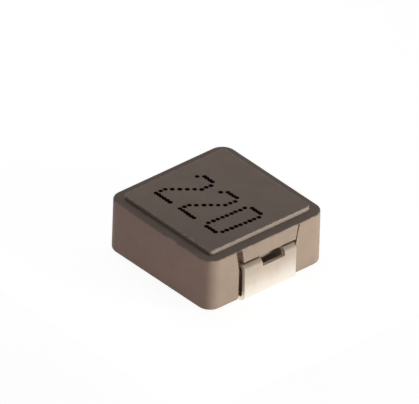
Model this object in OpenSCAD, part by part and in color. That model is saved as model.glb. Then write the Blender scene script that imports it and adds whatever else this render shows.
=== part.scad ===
// Moulded shielded power inductor for surface mounting.
// A block of pressed iron powder holds a flat-wire coil. Two folded terminals come out of its ends.
// Origin: centre of the plane that the solder feet stand on. +X runs to one terminal, +Z is up.

/* [Body] */
// Length of the pressed block, between its two terminal ends
body_l = 6.64; // [6.3:0.01:7.2]
// Width of the pressed block
body_w = 6.6; // [6.0:0.01:7.2]
// Height of the block from its underside to the shoulder
body_h = 2.54; // [2.4:0.01:3.0]
// Radius of the four upright corners
corner_r = 0.64; // [0.4:0.01:0.8]
// Radius on the shoulder's outer edge
shoulder_round = 0.04; // [0.02:0.01:0.08]
// Radius on the edge round the underside
base_round = 0.15; // [0.05:0.01:0.25]

/* [Raised panel] */
// Height of the panel above the shoulder
panel_rise = 0.21; // [0.1:0.01:0.35]
// Width of the shoulder left at each terminal end
shoulder_x = 0.49; // [0.45:0.01:0.7]
// Width of the shoulder left along each plain side
shoulder_y = 0.46; // [0.3:0.01:0.7]
// Radius of the panel's corners
panel_corner_r = 0.2; // [0.1:0.01:0.5]
// Radius on the panel's top edge
panel_round = 0.03; // [0.02:0.01:0.06]

/* [End recess] */
// Depth of the recess behind a terminal
recess_depth = 0.4; // [0.3:0.01:0.44]
// Width of the recess beside the terminal's leg
recess_w = 3.2; // [3.0:0.01:3.5]
// Width of the recess at its top, just under the shoulder
recess_top_w = 3.56; // [3.5:0.01:3.8]
// Thickness of the shoulder where it roofs the grooves beside the lip
groove_roof = 0.06; // [0.05:0.01:0.2]
// Height at which the recess starts to widen, measured down from the shoulder
recess_flare_h = 1.0; // [0.8:0.01:1.3]
// Radius on the pillars' lower corners beside the recess
pillar_round = 0.2; // [0.1:0.01:0.3]

/* [Lip over the terminal] */
// Width of the lip at its top
lip_top_w = 3.17; // [3.0:0.01:3.25]
// Width of the lip at its lower edge
lip_low_w = 2.9; // [2.7:0.01:2.95]
// How far the lip sits off the middle of the recess
lip_shift = 0.13; // [0:0.01:0.15]
// Gap between the lip's lower edge and the strip under it
lip_gap = 0.06; // [0.03:0.01:0.1]

/* [Terminal] */
// Thickness of the terminal strip
strip_t = 0.18; // [0.1:0.01:0.2]
// Width of the terminal strip
strip_w = 2.88; // [2.6:0.01:2.95]
// Height of the strip's upper face where it leaves the block
tab_z = 1.81; // [1.7:0.01:1.9]
// Outer radius of both bends
bend_r = 0.3; // [0.25:0.01:0.35]
// How far the leg's outer face stands out from the block's end
leg_out = 0.215; // [0.19:0.005:0.25]
// Length of the solder foot, from the leg's outer face inwards
foot_l = 1.6; // [1.2:0.01:1.8]
// Gap between the board and the block's underside
stand_off = 0.06; // [0.02:0.01:0.1]
// Gap between the foot and the seat over it
seat_gap = 0.03; // [0.01:0.01:0.06]
// Width of the window across the top bend
window_w = 1.27; // [0.8:0.01:1.5]
// How far the window sits off the middle of the strip
window_shift = 0.19; // [0:0.01:0.25]
// Distance from the strip's upper face down to the window's lower edge
window_drop = 0.36; // [0.32:0.01:0.6]
// How far the window reaches into the block
window_in = 0.14; // [0.05:0.01:0.2]
// Length of the wide head that anchors the tab in the block
head_l = 0.42; // [0.36:0.01:0.5]
// How far the head reaches past the coil's lead at each side
head_over = 0.05; // [0.02:0.01:0.15]

/* [Coil] */
// Inner radius of the coil
coil_r = 1.2; // [1.0:0.01:1.25]
// Width of the flat wire, across the coil
wire_w = 0.8; // [0.5:0.01:0.82]
// Thickness of the flat wire
wire_t = 0.12; // [0.08:0.005:0.13]
// Enamel gap between one turn and the next
turn_gap = 0.03; // [0.02:0.005:0.035]
// Number of whole turns
turns = 9; // [5:1:9]
// Height of the coil's middle
coil_z = 1.5; // [1.45:0.01:1.55]
// Powder left between the coil and each terminal's head
core_gap = 0.2; // [0.16:0.01:0.25]
// Radius of the wire's centre line where a lead steps to its tab
lead_bend_r = 0.15; // [0.1:0.01:0.17]
// Steepest slope of a lead's step, in degrees
lead_slope = 70; // [55:1:80]
// Length of lead welded to the head
weld_l = 0.35; // [0.2:0.01:0.36]

/* [Fit] */
// Clearance round the coil and the terminals' buried ends
fit = 0.02; // [0.01:0.005:0.03]

/* [Hidden] */
$fn = 48;
over = 0.2;                 // how far cutters run past the faces that they cut
segments = 36;              // flat stretches in one turn of the coil
bend_segments = 6;          // flat stretches in one bend of a lead

shoulder_z = stand_off + body_h;
panel_l = body_l - 2 * shoulder_x;
panel_w = body_w - 2 * shoulder_y;
recess_x = body_l / 2 - recess_depth;   // floor of the recess
leg_x = body_l / 2 + leg_out;           // outer face of the leg
seat_z = strip_t + seat_gap;            // ceiling over the foot
tab_low_z = tab_z - strip_t;

coil_outer_r = coil_r + wire_w;
coil_mid_r = coil_r + wire_w / 2;
pitch = wire_t + turn_gap;
coil_half_h = turns * pitch / 2;        // from the coil's middle to the centre line of an end turn
helix_slope = atan(pitch / (360 * coil_mid_r * PI / 180));
// A lead keeps the helix's slope until it is clear of the turns next to it.
lead_clear_x = sqrt(pow(coil_outer_r + fit, 2) - pow(coil_r, 2));
lead_rise = lead_clear_x * tan(helix_slope);
lead_half_h = coil_half_h + lead_rise;  // from the coil's middle to the centre line of a level lead
tab_in_x = coil_outer_r + core_gap;     // inner end of the tab
lead_end_x = tab_in_x + weld_l;
head_w = 2 * (coil_outer_r + head_over);

// ---- flat shapes ----

module rounded_rectangle(l, w, r) {
    square([l - 2 * r, w], center = true);
    square([l, w - 2 * r], center = true);
    for (x = [-1, 1], y = [-1, 1])
        translate([x * (l / 2 - r), y * (w / 2 - r)]) circle(r);
}

// What a radius takes off an outside corner at the origin, with the solid to the left and below.
module corner_section(r) {
    difference() {
        translate([-r, -r]) square(r + over);
        translate([-r, -r]) circle(r);
    }
}

// ---- pressed block ----

// What a radius takes off the top edge of a rounded block whose top face is at z = 0.
module edge_round(l, w, corner, r) {
    for (side = [0:3]) {
        across = side % 2 == 0 ? l : w;
        along = side % 2 == 0 ? w : l;
        rotate([0, 0, 90 * side]) {
            rotate([90, 0, 0])
                linear_extrude(along - 2 * corner, center = true)
                    translate([across / 2, 0]) corner_section(r);
            translate([across / 2 - corner, along / 2 - corner, 0])
                rotate_extrude(angle = 90)
                    translate([corner, 0]) corner_section(r);
        }
    }
}

module block() {
    difference() {
        translate([0, 0, stand_off])
            linear_extrude(body_h) rounded_rectangle(body_l, body_w, corner_r);
        translate([0, 0, shoulder_z]) edge_round(body_l, body_w, corner_r, shoulder_round);
        translate([0, 0, stand_off])
            mirror([0, 0, 1]) edge_round(body_l, body_w, corner_r, base_round);
    }
}

module panel() {
    difference() {
        translate([0, 0, shoulder_z - over])
            linear_extrude(panel_rise + over) rounded_rectangle(panel_l, panel_w, panel_corner_r);
        translate([0, 0, shoulder_z + panel_rise])
            edge_round(panel_l, panel_w, panel_corner_r, panel_round);
    }
}

// Outline of the recess on the block's end, seen along X: straight beside the leg, wider above, and
// closed under the shoulder.
module recess_outline() {
    knee_z = shoulder_z - recess_flare_h;
    roof_z = shoulder_z - groove_roof;
    polygon([
        [-recess_w / 2, stand_off - over], [recess_w / 2, stand_off - over],
        [recess_w / 2, knee_z], [recess_top_w / 2, roof_z],
        [-recess_top_w / 2, roof_z], [-recess_w / 2, knee_z]
    ]);
    for (side = [0, 1])
        mirror([side, 0]) translate([recess_w / 2, stand_off]) rotate(180) corner_section(pillar_round);
}

// The lip hangs over the tab, flush with the block's end.
module lip_outline() {
    lip_z = tab_z + lip_gap;
    translate([lip_shift, 0])
        polygon([
            [-lip_low_w / 2, lip_z], [lip_low_w / 2, lip_z],
            [lip_top_w / 2, shoulder_z], [-lip_top_w / 2, shoulder_z]
        ]);
}

module end_recess() {
    translate([recess_x, 0, 0]) rotate([90, 0, 90])
        linear_extrude(recess_depth + over)
            difference() {
                recess_outline();
                lip_outline();
            }
}

// Shallow seat in the underside that the solder foot folds into.
module foot_seat() {
    start_x = leg_x - foot_l - seat_gap;
    translate([start_x, -recess_w / 2, stand_off - over])
        cube([body_l / 2 + over - start_x, recess_w, seat_z - stand_off + over]);
}

// Space that the buried tab fills. The powder goes through the window and locks the strip.
module tab_slot() {
    difference() {
        union() {
            translate([tab_in_x - fit, -head_w / 2 - fit, tab_low_z])
                cube([head_l + 2 * fit, head_w + 2 * fit, strip_t]);
            translate([tab_in_x, -strip_w / 2 - fit, tab_low_z])
                cube([recess_x + over - tab_in_x, strip_w + 2 * fit, strip_t]);
        }
        translate([recess_x - window_in + fit, window_shift - window_w / 2 + fit, tab_low_z - over])
            cube([window_in - fit, window_w - 2 * fit, strip_t + 2 * over]);
    }
}

// Ring-shaped space of the turns, and a channel from it to each tab for the leads.
module coil_space() {
    translate([0, 0, coil_z])
        rotate_extrude()
            translate([coil_r - fit, -coil_half_h - wire_t / 2 - fit])
                square([wire_w + 2 * fit, 2 * coil_half_h + wire_t + 2 * fit]);
    channel_l = lead_end_x + fit;
    channel_y = -coil_outer_r - fit;
    channel_w = wire_w + 2 * fit;
    channel_top = coil_z + lead_half_h + wire_t / 2 + fit;
    channel_low = coil_z - lead_half_h - wire_t / 2 - fit;
    translate([0, channel_y, tab_z]) cube([channel_l, channel_w, channel_top - tab_z]);
    translate([-channel_l, channel_y, channel_low]) cube([channel_l, channel_w, tab_low_z - channel_low]);
}

module moulded_body() {
    color([0.56, 0.48, 0.42])
        difference() {
            union() {
                block();
                panel();
            }
            for (turn = [0, 180])
                rotate([0, 0, turn]) {
                    end_recess();
                    foot_seat();
                    tab_slot();
                }
            coil_space();
        }
}

// ---- folded terminal ----

module quarter_ring() {
    intersection() {
        difference() {
            circle(bend_r);
            circle(bend_r - strip_t);
        }
        square(bend_r);
    }
}

// Side view of the strip: tab, upper bend, leg, lower bend, foot.
module strip_profile() {
    bend_x = leg_x - bend_r;
    translate([tab_in_x, tab_low_z]) square([bend_x - tab_in_x, strip_t]);
    translate([bend_x, tab_z - bend_r]) quarter_ring();
    translate([leg_x - strip_t, bend_r]) square([strip_t, tab_z - 2 * bend_r]);
    translate([bend_x, bend_r]) mirror([0, 1]) quarter_ring();
    translate([leg_x - foot_l, 0]) square([foot_l - bend_r, strip_t]);
}

module terminal() {
    color([0.86, 0.80, 0.72])
        difference() {
            union() {
                rotate([90, 0, 0]) linear_extrude(strip_w, center = true) strip_profile();
                translate([tab_in_x, -head_w / 2, tab_low_z]) cube([head_l, head_w, strip_t]);
            }
            translate([recess_x - window_in, window_shift - window_w / 2, tab_z - window_drop])
                cube([leg_x - recess_x + window_in + over, window_w, window_drop + over]);
        }
}

module terminal_right() {
    terminal();
}

module terminal_left() {
    rotate([0, 0, 180]) terminal();
}

// ---- coil ----

// A station on the wire's centre line is [x, y, z, heading, slope]: where the wire is, which way it
// runs seen from above, and how steeply it climbs along that way.

function helix_stations() = [
    for (i = [0 : turns * segments])
        let (angle = 360 * i / segments)
        [coil_mid_r * sin(angle), -coil_mid_r * cos(angle), coil_z - coil_half_h + pitch * angle / 360,
         angle, helix_slope]
];

// Side view of a lead, outwards from its last turn: [distance, height, slope]. The lead leaves along the
// tangent, steps by the given height with two equal bends, and ends level on the tab.
function lead_profile(step) =
    let (
        way = step < 0 ? -1 : 1,
        rise = abs(step),
        slope = min(lead_slope, acos(max(1 - rise / (2 * lead_bend_r), -1))),
        straight = max((rise - 2 * lead_bend_r * (1 - cos(slope))) / sin(max(slope, 1)), 0),
        run = 2 * lead_bend_r * sin(slope) + straight * cos(slope),
        start_x = tab_in_x - run
    )
    concat(
        [for (i = [0 : bend_segments])
            let (a = slope * i / bend_segments)
            [start_x + lead_bend_r * sin(a), way * lead_bend_r * (1 - cos(a)), way * a]],
        [for (i = [bend_segments : -1 : 0])
            let (a = slope * i / bend_segments)
            [tab_in_x - lead_bend_r * sin(a), step - way * lead_bend_r * (1 - cos(a)), way * a]],
        [[lead_end_x, step, 0]]
    );

// The upper lead runs to +X and lies on its tab. The lower lead runs to -X and lies under its tab.
function upper_lead() =
    let (z = coil_z + lead_half_h, step = tab_z + wire_t / 2 - z)
    concat(
        [[lead_clear_x, -coil_mid_r, z, 0, 0]],
        [for (p = lead_profile(step)) [p[0], -coil_mid_r, z + p[1], 0, p[2]]]
    );

function lower_lead() =
    let (z = coil_z - lead_half_h, step = tab_low_z - wire_t / 2 - z, profile = lead_profile(step))
    concat(
        [for (i = [len(profile) - 1 : -1 : 0])
            [-profile[i][0], -coil_mid_r, z + profile[i][1], 0, -profile[i][2]]],
        [[-lead_clear_x, -coil_mid_r, z, 0, 0]]
    );

// The wire's four corners at a station, inner low, outer low, outer high, inner high.
function wire_corners(s) =
    let (
        inwards = [-sin(s[3]), cos(s[3]), 0] * wire_w / 2,
        upwards = [-sin(s[4]) * cos(s[3]), -sin(s[4]) * sin(s[3]), cos(s[4])] * wire_t / 2,
        centre = [s[0], s[1], s[2]]
    )
    [centre + inwards - upwards, centre - inwards - upwards,
     centre - inwards + upwards, centre + inwards + upwards];

module coil() {
    stations = concat(lower_lead(), helix_stations(), upper_lead());
    last = len(stations) - 1;
    points = [for (s = stations) each wire_corners(s)];
    sides = [
        for (i = [0 : last - 1], k = [0 : 3])
            let (a = 4 * i + k, b = 4 * i + (k + 1) % 4)
            each [[a, a + 4, b + 4], [a, b + 4, b]]
    ];
    ends = [[0, 1, 2, 3], [4 * last + 3, 4 * last + 2, 4 * last + 1, 4 * last]];
    color([0.72, 0.42, 0.24]) polyhedron(points, concat(sides, ends));
}

moulded_body();
coil();
terminal_right();
terminal_left();
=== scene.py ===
import math
import random

import bmesh
import bpy
from mathutils import Matrix, Vector


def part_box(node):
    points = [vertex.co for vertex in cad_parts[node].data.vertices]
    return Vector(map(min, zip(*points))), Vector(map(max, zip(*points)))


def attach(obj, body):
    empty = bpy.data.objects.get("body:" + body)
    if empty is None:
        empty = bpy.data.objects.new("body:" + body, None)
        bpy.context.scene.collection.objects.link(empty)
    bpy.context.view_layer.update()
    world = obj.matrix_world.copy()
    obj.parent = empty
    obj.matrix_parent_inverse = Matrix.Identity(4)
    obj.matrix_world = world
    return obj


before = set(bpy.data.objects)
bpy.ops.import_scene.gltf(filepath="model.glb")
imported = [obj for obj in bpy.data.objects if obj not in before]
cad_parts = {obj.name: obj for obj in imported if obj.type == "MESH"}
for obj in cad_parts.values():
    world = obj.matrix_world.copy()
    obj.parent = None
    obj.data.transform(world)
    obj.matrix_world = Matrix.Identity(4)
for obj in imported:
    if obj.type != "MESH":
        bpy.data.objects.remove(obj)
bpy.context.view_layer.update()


# Coil. A flat copper wire with a thin amber enamel, wound on edge into a tight helix and sunk in
# the powder before pressing. Its two ends are welded to the terminals' tabs.
MM = 0.001
COPPER_DARK, COPPER_LIGHT = (0.62, 0.24, 0.09), (0.74, 0.36, 0.17)
COPPER_CLOUD = 0.6 * MM
ENAMEL_RIPPLE, ENAMEL_RELIEF = 0.06 * MM, 0.002 * MM


class Signal:
    """A number, colour or vector that varies over a surface. Sums on it add Math nodes."""

    def __init__(self, finish, socket):
        self.finish, self.socket = finish, socket

    def maths(self, operation, *values):
        """Values and signals through a Math node."""
        return self.finish.node(
            "ShaderNodeMath", {"operation": operation}, dict(enumerate(values))
        )

    def __add__(self, other):
        return self.maths("ADD", self, other)

    __radd__ = __add__

    def __sub__(self, other):
        return self.maths("SUBTRACT", self, other)

    def __rsub__(self, other):
        return self.maths("SUBTRACT", other, self)

    def __mul__(self, other):
        return self.maths("MULTIPLY", self, other)

    __rmul__ = __mul__

    def __truediv__(self, other):
        return self.maths("DIVIDE", self, other)

    def __rtruediv__(self, other):
        return self.maths("DIVIDE", other, self)

    def __gt__(self, other):
        return self.maths("GREATER_THAN", self, other)

    def __lt__(self, other):
        return self.maths("LESS_THAN", self, other)

    def __abs__(self):
        return self.maths("ABSOLUTE", self)


class Finish:
    """The nodes of a material or of the world. They read the place on the piece, in metres."""

    def __init__(self, owner):
        self.owner = owner
        owner.use_nodes = True
        self.tree = owner.node_tree
        self.tree.nodes.clear()
        self.place = self.node("ShaderNodeTexCoord", {}, {}, "Object")

    def node(self, kind, settings, inputs, output=0):
        """Any node: its settings, its inputs as values or signals, and the output that is used."""
        made = self.tree.nodes.new(kind)
        for key, value in settings.items():
            setattr(made, key, value)
        for key, value in inputs.items():
            if isinstance(value, Signal):
                self.tree.links.new(value.socket, made.inputs[key])
            else:
                made.inputs[key].default_value = value
        return Signal(self, made.outputs[output]) if made.outputs else None

    def along(self, axis):
        """The place along one axis, 0 to 2 for X to Z, in millimetres."""
        return self.node("ShaderNodeSeparateXYZ", {}, {0: self.place}, axis) / MM

    def vector(self, operation, *vectors, output=0):
        """Vectors through a Vector Math node."""
        return self.node(
            "ShaderNodeVectorMath", {"operation": operation}, dict(enumerate(vectors)), output
        )

    def noise(self, size, detail=2.0, rough=0.5, place=None):
        """Cloudy noise round 0.5, with lumps of about this size in metres."""
        return self.node(
            "ShaderNodeTexNoise",
            {},
            {
                "Vector": place or self.place,
                "Scale": 1 / size,
                "Detail": detail,
                "Roughness": rough,
            },
        )

    def step(self, value, low, high):
        """A smooth step from 0 at low to 1 at high."""
        return self.node(
            "ShaderNodeMapRange",
            {"interpolation_type": "SMOOTHSTEP"},
            {"Value": value, "From Min": low, "From Max": high},
        )

    def mix(self, share, first, second):
        """The first colour, going over to the second as share goes from 0 to 1."""
        colours = {
            socket: value if isinstance(value, Signal) else (*value, 1.0)
            for socket, value in ((6, first), (7, second))
        }
        return self.node("ShaderNodeMix", {"data_type": "RGBA"}, {0: share, **colours}, 2)

    def bump(self, height, depth, under=None):
        """A height from 0 to 1 as relief of this depth in metres, on the relief under it."""
        inputs = {"Height": height, "Distance": depth, "Strength": 1.0}
        if under:
            inputs["Normal"] = under
        return self.node("ShaderNodeBump", {}, inputs)

    def surface(self, inputs):
        """Ends the material with its shader, and returns the material."""
        shader = self.node("ShaderNodeBsdfPrincipled", {}, inputs)
        self.node("ShaderNodeOutputMaterial", {}, {"Surface": shader})
        return self.owner


def dress(piece, material):
    """Gives a piece one material for all its faces."""
    piece.data.materials.clear()
    piece.data.materials.append(material)


enamel = Finish(bpy.data.materials.new("enamelled_copper"))
wire_tone = enamel.noise(COPPER_CLOUD, 3.0, 0.6)
dress(
    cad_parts["coil"],
    enamel.surface(
        {
            "Base Color": enamel.mix(
                enamel.step(wire_tone, 0.35, 0.7), COPPER_DARK, COPPER_LIGHT
            ),
            "Metallic": 1.0,
            "Roughness": 0.28 + 0.12 * wire_tone,
            "Coat Weight": 0.6 + 0.2 * wire_tone,
            "Coat Roughness": 0.12,
            "Normal": enamel.bump(enamel.noise(ENAMEL_RIPPLE), ENAMEL_RELIEF),
        }
    ),
)


# Moulded body. Iron powder and binder pressed round the coil and the terminals' inner ends, then
# cured. The punch leaves a matt top, the die leaves faint lines down the sides, and handling rubs
# the edges. The first sizes are the body's own, in millimetres, and place each finish on it.
SHOULDER_X, SHOULDER_Y = 0.49, 0.46
PANEL_CORNER, BODY_CORNER = 0.2, 0.64
PANEL_RISE = 0.21
RECESS_DEPTH, STRIP_REACH = 0.4, 1.6
GROOVE_NEAR, GROOVE_NEAR_HALF = 1.62, 0.17
GROOVE_FAR, GROOVE_FAR_HALF = 1.75, 0.04
BEND_LOW, BEND_TOP = 0.8, 1.75
# How far under the shoulder the painted shade at the groove tops reaches.
GROOVE_SHADE_DROP = 0.15
RUB_WIDTH, RUB_FULL = 0.09, 0.01
NEAR_FACE = 0.05
POWDER_DARK, POWDER_LIGHT = (0.262, 0.203, 0.155), (0.290, 0.226, 0.173)
GRAIN, CLUMP, PATCH, FLAKE = 0.07 * MM, 0.9 * MM, 0.35 * MM, 0.12 * MM
DRAG, DRAG_STRETCH = 0.11 * MM, (1.0, 1.0, 0.05)
GRAIN_RELIEF, DRAG_RELIEF = 0.008 * MM, 0.003 * MM
BODY_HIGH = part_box("moulded_body")[1]

powder = Finish(bpy.data.materials.new("pressed_powder"))


def outside(half_x, half_y, corner):
    """How far a place lies outside a rounded rectangle round the middle, in millimetres."""
    inner = (half_x - corner, half_y - corner, 1e3)
    folded = powder.vector("ABSOLUTE", powder.vector("DIVIDE", powder.place, (MM, MM, MM)))
    past = powder.vector("MAXIMUM", powder.vector("SUBTRACT", folded, inner), (0.0, 0.0, 0.0))
    return powder.vector("LENGTH", past, output=1) - corner


def across_end(finish):
    """The place across a terminal end, in millimetres. One end is the other turned half round."""
    length = finish.along(0)
    return finish.along(1) * length.maths("SIGN", length)


def below(level, start, full):
    """A smooth step from 0 to 1 between two depths under a level, in millimetres."""
    return powder.step(height, level - start, level - full)


def rubbed_edge(half_x, half_y, corner, level, drop):
    """1 in a narrow band along an upper edge, where handling rubs the powder."""
    in_plan = powder.step(outside(half_x, half_y, corner), -RUB_WIDTH, -RUB_FULL)
    return in_plan * below(level, drop, RUB_FULL)


half_length, half_width, top = (value / MM for value in BODY_HIGH)
shoulder = top - PANEL_RISE
height = powder.along(2)
across = across_end(powder)
from_middle = abs(powder.along(0))
grain = powder.noise(GRAIN, 3.0, 0.65)
clumps = powder.noise(CLUMP, 3.0, 0.55)
cells = powder.node("ShaderNodeTexVoronoi", {}, {"Vector": powder.place, "Scale": 1 / FLAKE})
drag = powder.noise(DRAG, 2.0, 0.6, powder.vector("MULTIPLY", powder.place, DRAG_STRETCH))
pores = powder.step(grain, 0.42, 0.3)
glints = powder.step(cells, 0.22, 0.08)

on_sides = 1 - below(shoulder, 0.1, 0.02)
# Painted shade: the shoulder round the raised panel is painted darker than the panel.
painted_shade_on_shoulder = below(top, 0.14, 0.18) * (1 - on_sides)
# Painted sheen: the side wall of the raised panel is painted lighter and greyer.
painted_sheen_on_panel_wall = (height > shoulder + 0.03) * (height < top - 0.04)
panel_edge = rubbed_edge(
    half_length - SHOULDER_X, half_width - SHOULDER_Y, PANEL_CORNER, top, 0.05
)
body_edge = rubbed_edge(half_length, half_width, BODY_CORNER, shoulder, 0.08)
rubbed = (panel_edge + body_edge) * powder.step(powder.noise(PATCH, 2.0, 0.6), 0.38, 0.62)
# Painted shade: the top of the panel is painted darker towards its corner between the terminal side
# and the plain side.
painted_shade_to_corner = powder.step(powder.along(0) - powder.along(1), -1.0, 6.0) * (height > top - NEAR_FACE)
over_grooves = (abs(across + GROOVE_NEAR) < GROOVE_NEAR_HALF) + (
    abs(across - GROOVE_FAR) < GROOVE_FAR_HALF
)
# Painted shade: the tops of the grooves at the ends, under the shoulder, are painted dark.
painted_shade_groove_tops = (
    over_grooves * (height > shoulder - GROOVE_SHADE_DROP) * (from_middle > half_length - 0.04)
)
# Painted light: the groove beside each terminal is painted paler, as if lit.
painted_light_in_groove = (
    (abs(across + GROOVE_NEAR) < GROOVE_NEAR_HALF + 0.02)
    * (from_middle < half_length - 0.08)
    * (height > BEND_TOP - NEAR_FACE)
    * on_sides
)
# Painted light: the recess floor behind the terminal's bend, seen through its window, is painted
# paler.
painted_light_behind_bend = (
    (abs(from_middle - half_length + RECESS_DEPTH) < NEAR_FACE)
    * (abs(across) < STRIP_REACH)
    * powder.step(height, BEND_LOW, BEND_LOW + 0.2)
    * (height < BEND_TOP)
)

tone = powder.mix(powder.step(clumps, 0.3, 0.7), POWDER_DARK, POWDER_LIGHT)
for share, colour in (
    # painted shade: the top darker towards one corner
    (painted_shade_to_corner * 0.24, (0.15, 0.11, 0.09)),
    # painted shade on the shoulder
    (painted_shade_on_shoulder * 0.34, (0.10, 0.07, 0.05)),
    (pores * 0.35, (0.17, 0.13, 0.10)),
    (glints * 0.16, (0.42, 0.35, 0.29)),
    # the rubbed edges are wear; the panel wall's share is a painted sheen
    (rubbed * 0.5 + painted_sheen_on_panel_wall * 0.2, (0.42, 0.39, 0.37)),
    # painted light in the groove and behind the bend
    (painted_light_behind_bend * 0.5 + painted_light_in_groove * 0.7, (0.46, 0.39, 0.34)),
    # painted shade at the groove tops
    (painted_shade_groove_tops * 0.8, (0.09, 0.07, 0.05)),
):
    tone = powder.mix(share, tone, colour)
dress(
    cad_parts["moulded_body"],
    powder.surface(
        {
            "Base Color": tone,
            "Roughness": 0.62 + 0.14 * clumps - 0.12 * rubbed,
            "Specular IOR Level": 0.3,
            "Normal": powder.bump(drag * on_sides, DRAG_RELIEF, powder.bump(grain, GRAIN_RELIEF)),
        }
    ),
)


# Terminals. Copper strip, tin plated on its reel, then stamped and folded down the ends and in
# under the body. Sheared edges are rougher and carry a painted highlight. The feet carry painted
# light, brighter than the bends.
# The window's width, shift and sill are the strip's own, in millimetres.
STRIP_WIDTH = 2.88
WINDOW_WIDTH, WINDOW_SHIFT, WINDOW_LOW = 1.27, 0.19, 1.45
EDGE = 0.01
# Painted light: between these heights the strip goes over to a near-white tint towards the feet.
PAINTED_LIGHT_TOP, PAINTED_LIGHT_FULL, PAINTED_LIGHT_WAVER = 1.6, 0.05, 0.25
TIN_DULL, TIN_PAINTED_LIGHT = (0.61, 0.50, 0.40), (1.0, 0.92, 0.81)
TIN_STAIN, TIN_PAINTED_HIGHLIGHT = (0.50, 0.42, 0.34), (0.90, 0.80, 0.70)
FROST, STAIN = 0.05 * MM, 0.8 * MM
ROLLED_STRETCH = (0.06, 1.0, 0.06)
TIN_RELIEF = 0.0012 * MM

tin = Finish(bpy.data.materials.new("tinned_copper"))
height = tin.along(2)
across = across_end(tin)
rolled = tin.noise(FROST, 2.0, 0.6, tin.vector("MULTIPLY", tin.place, ROLLED_STRETCH))
frost = tin.noise(FROST, 2.0, 0.6)
stain = tin.noise(STAIN, 3.0, 0.6)
from_window = abs(across - WINDOW_SHIFT)
window_sides = (abs(from_window - WINDOW_WIDTH / 2) < EDGE) * (height > WINDOW_LOW - EDGE)
window_sill = (abs(height - WINDOW_LOW) < EDGE) * (from_window < WINDOW_WIDTH / 2)
# Sheared edges: really rougher, and painted lighter as a painted highlight.
sheared_with_painted_highlight = (abs(across) > STRIP_WIDTH / 2 - EDGE) + window_sides + window_sill
# Painted light: brighter towards the feet than at the bends.
painted_light_to_feet = tin.step(height + (stain - 0.5) * PAINTED_LIGHT_WAVER, PAINTED_LIGHT_TOP, PAINTED_LIGHT_FULL)
plate = tin.mix(painted_light_to_feet, TIN_DULL, TIN_PAINTED_LIGHT)
plate = tin.mix(tin.step(stain, 0.5, 0.75) * 0.25, plate, TIN_STAIN)
tin_plate = tin.surface(
    {
        # painted highlight on the sheared edges
        "Base Color": tin.mix(sheared_with_painted_highlight, plate, TIN_PAINTED_HIGHLIGHT),
        "Metallic": 1.0,
        "Roughness": 0.34 + 0.10 * stain + 0.12 * sheared_with_painted_highlight,
        "Normal": tin.bump(rolled, TIN_RELIEF, tin.bump(frost, TIN_RELIEF)),
    }
)
for terminal in ("terminal_right", "terminal_left"):
    dress(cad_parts[terminal], tin_plate)


# Printed number. A plain stock number in drops of black ink, jetted on the finished panel line by
# line. Drops in a level row run together, and those on a slope stay apart.
DIGITS = {
    "2": (
        ".####.",
        "#....#",
        ".....#",
        ".....#",
        "....#.",
        "...#..",
        "..#...",
        ".#....",
        "#.....",
        "#.....",
        "######",
    ),
    "0": (
        ".####.",
        "#....#",
        "#....#",
        "#....#",
        "#....#",
        "#....#",
        "#....#",
        "#....#",
        "#....#",
        "#....#",
        ".####.",
    ),
}
NUMBER = "220"
COLUMN, ROW, ADVANCE = 0.18 * MM, 0.242 * MM, 1.55 * MM
FIRST_DROP = Vector((-2.02 * MM, -1.67 * MM))
LEAN = 0.065
DROP_RADIUS, DROP_HEIGHT, SUNK = 0.116 * MM, 0.006 * MM, 0.002 * MM
DROP_TOP, DROP_STRAY, DROP_SIDES = 0.8, 0.012 * MM, 14
INK_DARK, INK_LIGHT = (0.003, 0.001, 0.001), (0.007, 0.003, 0.002)
INK_CLOUD, INK_RELIEF = 0.06 * MM, 0.003 * MM


def new_piece(name, shape):
    """Turns a finished shape into an object, with its place in its mesh."""
    mesh = bpy.data.meshes.new(name)
    shape.to_mesh(mesh)
    shape.free()
    piece = bpy.data.objects.new(name, mesh)
    bpy.context.scene.collection.objects.link(piece)
    return piece


jetted = bmesh.new()
wander = random.Random(7)
for place, digit in enumerate(NUMBER):
    for line, dots in enumerate(reversed(DIGITS[digit])):
        for column, dot in enumerate(dots):
            if dot != "#":
                continue
            radius = DROP_RADIUS * wander.uniform(0.94, 1.08)
            depth = DROP_HEIGHT * wander.uniform(0.8, 1.0) + SUNK
            at = Vector(
                (
                    FIRST_DROP.x + place * ADVANCE + column * COLUMN + line * ROW * LEAN,
                    FIRST_DROP.y + line * ROW,
                    BODY_HIGH.z + depth / 2 - SUNK,
                )
            )
            at += Vector((wander.uniform(-1, 1), wander.uniform(-1, 1), 0)) * DROP_STRAY
            bmesh.ops.create_cone(
                jetted,
                cap_ends=True,
                segments=DROP_SIDES,
                radius1=radius,
                radius2=DROP_TOP * radius,
                depth=depth,
                matrix=Matrix.Translation(at),
            )
number = new_piece("printed_number", jetted)

ink = Finish(bpy.data.materials.new("marking_ink"))
ink_tone = ink.noise(INK_CLOUD, 2.0, 0.6)
dress(
    number,
    ink.surface(
        {
            "Base Color": ink.mix(ink_tone, INK_DARK, INK_LIGHT),
            "Roughness": 0.8 + 0.15 * ink_tone,
            "Specular IOR Level": 0.02,
            "Normal": ink.bump(ink_tone, INK_RELIEF),
        }
    ),
)
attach(number, "root")


# Floor. A wide pale board that the part stands on. It is white to the camera and in reflections,
# and keeps part of its own shading, so that the part's shadow stays on it. From below it is clear.
FLOOR_RADIUS, FLOOR_DROP = 0.4, 0.002 * MM
FLOOR_PAINT, FLOOR_WHITE = (0.86, 0.85, 0.83, 1.0), (1.0, 1.0, 1.0, 1.0)
FLOOR_GLOW, GLOW_SHARE = 1.16, 0.8

board = bmesh.new()
bmesh.ops.create_circle(board, cap_ends=True, segments=96, radius=FLOOR_RADIUS)
bmesh.ops.translate(board, verts=board.verts, vec=(0, 0, -FLOOR_DROP))
floor = new_piece("floor", board)

paint = Finish(bpy.data.materials.new("floor_paint"))


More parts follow.
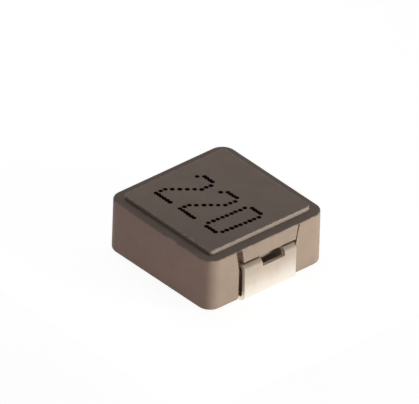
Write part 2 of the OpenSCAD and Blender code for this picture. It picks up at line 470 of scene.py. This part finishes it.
def seen_white(finish):
    """1 for rays from the camera, a reflection or through glass, and 0 for light on the object."""
    direct, mirrored, through = (
        finish.node("ShaderNodeLightPath", {}, {}, name)
        for name in ("Is Camera Ray", "Is Glossy Ray", "Is Transmission Ray")
    )
    seen = direct + mirrored + through
    return seen.maths("MINIMUM", seen, 1.0)


matt = paint.node("ShaderNodeBsdfDiffuse", {}, {"Color": FLOOR_PAINT})
white = paint.node("ShaderNodeEmission", {}, {"Color": FLOOR_WHITE, "Strength": FLOOR_GLOW})
painted = paint.node(
    "ShaderNodeMixShader", {}, {0: seen_white(paint) * GLOW_SHARE, 1: matt, 2: white}
)
clear = paint.node("ShaderNodeBsdfTransparent", {}, {})
from_below = paint.node("ShaderNodeNewGeometry", {}, {}, "Backfacing")
seen_floor = paint.node("ShaderNodeMixShader", {}, {0: from_below, 1: painted, 2: clear})
paint.node("ShaderNodeOutputMaterial", {}, {"Surface": seen_floor})
dress(floor, paint.owner)


# Surround. The studio's walls and ceiling. They are white to the camera and in reflections, where
# the ceiling is greyer, and give only a weak even light to the part itself.
AMBIENT, CEILING = 0.1, 0.5
CEILING_LOW, CEILING_HIGH = 0.25, 0.42

studio = bpy.data.worlds.new("studio")
bpy.context.scene.world = studio
air = Finish(studio)
direction = air.node("ShaderNodeTexCoord", {}, {}, "Generated")
upward = air.node("ShaderNodeSeparateXYZ", {}, {0: direction}, 2)
to_camera = air.node("ShaderNodeLightPath", {}, {}, "Is Camera Ray")
overhead = air.step(upward, CEILING_LOW, CEILING_HIGH) * (1 - to_camera)
walls = 1 - (1 - CEILING) * overhead
glow = air.node(
    "ShaderNodeBackground",
    {},
    {"Color": (1.0, 1.0, 1.0, 1.0), "Strength": AMBIENT + seen_white(air) * (walls - AMBIENT)},
)
air.node("ShaderNodeOutputWorld", {}, {"Surface": glow})


# Lamps. A soft panel low on the terminal side, a weak one behind and a wide one overhead. Two low
# cards throw a little warm light back at the plain side and the terminal side, as a board would.
def lamp(name, place, aim, size, power, colour):
    """A soft rectangular lamp, in millimetres and watts."""
    light = bpy.data.lights.new(name, "AREA")
    light.shape, light.size, light.size_y = "RECTANGLE", size[0] * MM, size[1] * MM
    light.energy, light.color = power, colour
    panel = bpy.data.objects.new(name, light)
    panel.location = Vector(place) * MM
    panel.rotation_euler = (Vector(aim) - Vector(place)).to_track_quat("-Z", "Y").to_euler()
    panel.visible_camera = panel.visible_glossy = False
    bpy.context.scene.collection.objects.link(panel)


lamp("key", (52, 30, 5), (0, 0, 1.5), (16, 12), 0.0388, (0.98, 1.0, 1.0))
lamp("behind", (-36, 4, 8), (0, 0, 2), (14, 14), 0.004, (1.0, 1.0, 1.0))
lamp("overhead", (-10, 4, 40), (0, 0, 2.6), (30, 30), 0.0037, (0.81, 0.80, 1.0))
lamp("plain_side_card", (0, -9, 0.6), (0, -3.3, 2.0), (18, 1), 0.000140, (1.0, 0.70, 0.80))
lamp("terminal_side_card", (9, 0, 1.0), (3.3, 0, 2.0), (16, 1.6), 0.00022, (1.0, 0.87, 0.79))


# Camera. Long lens from high on the corner between the plain side and the terminal side. The view
# has no perspective, and leans a little.
AZIMUTH, ELEVATION, ROLL = (math.radians(angle) for angle in (47.94, 33.79, 1.835))
VIEW_WIDTH = 17.80 * MM
LOOKS_AT = Vector((-0.659, 0.170, 2.282)) * MM
DISTANCE = 80 * MM

back = Vector(
    (
        math.sin(AZIMUTH) * math.cos(ELEVATION),
        -math.cos(AZIMUTH) * math.cos(ELEVATION),
        math.sin(ELEVATION),
    )
)
level = Vector((math.cos(AZIMUTH), math.sin(AZIMUTH), 0.0))
right = Matrix.Rotation(ROLL, 3, back) @ level
lens = bpy.data.cameras.new("camera")
lens.type = "ORTHO"
lens.ortho_scale = VIEW_WIDTH
lens.clip_start, lens.clip_end = MM, 1.0
camera = bpy.data.objects.new("camera", lens)
turn = Matrix((right, back.cross(right), back)).transposed()
camera.matrix_world = Matrix.Translation(LOOKS_AT + back * DISTANCE) @ turn.to_4x4()
bpy.context.scene.collection.objects.link(camera)
bpy.context.scene.camera = camera
bpy.context.scene.view_settings.view_transform = "Standard"
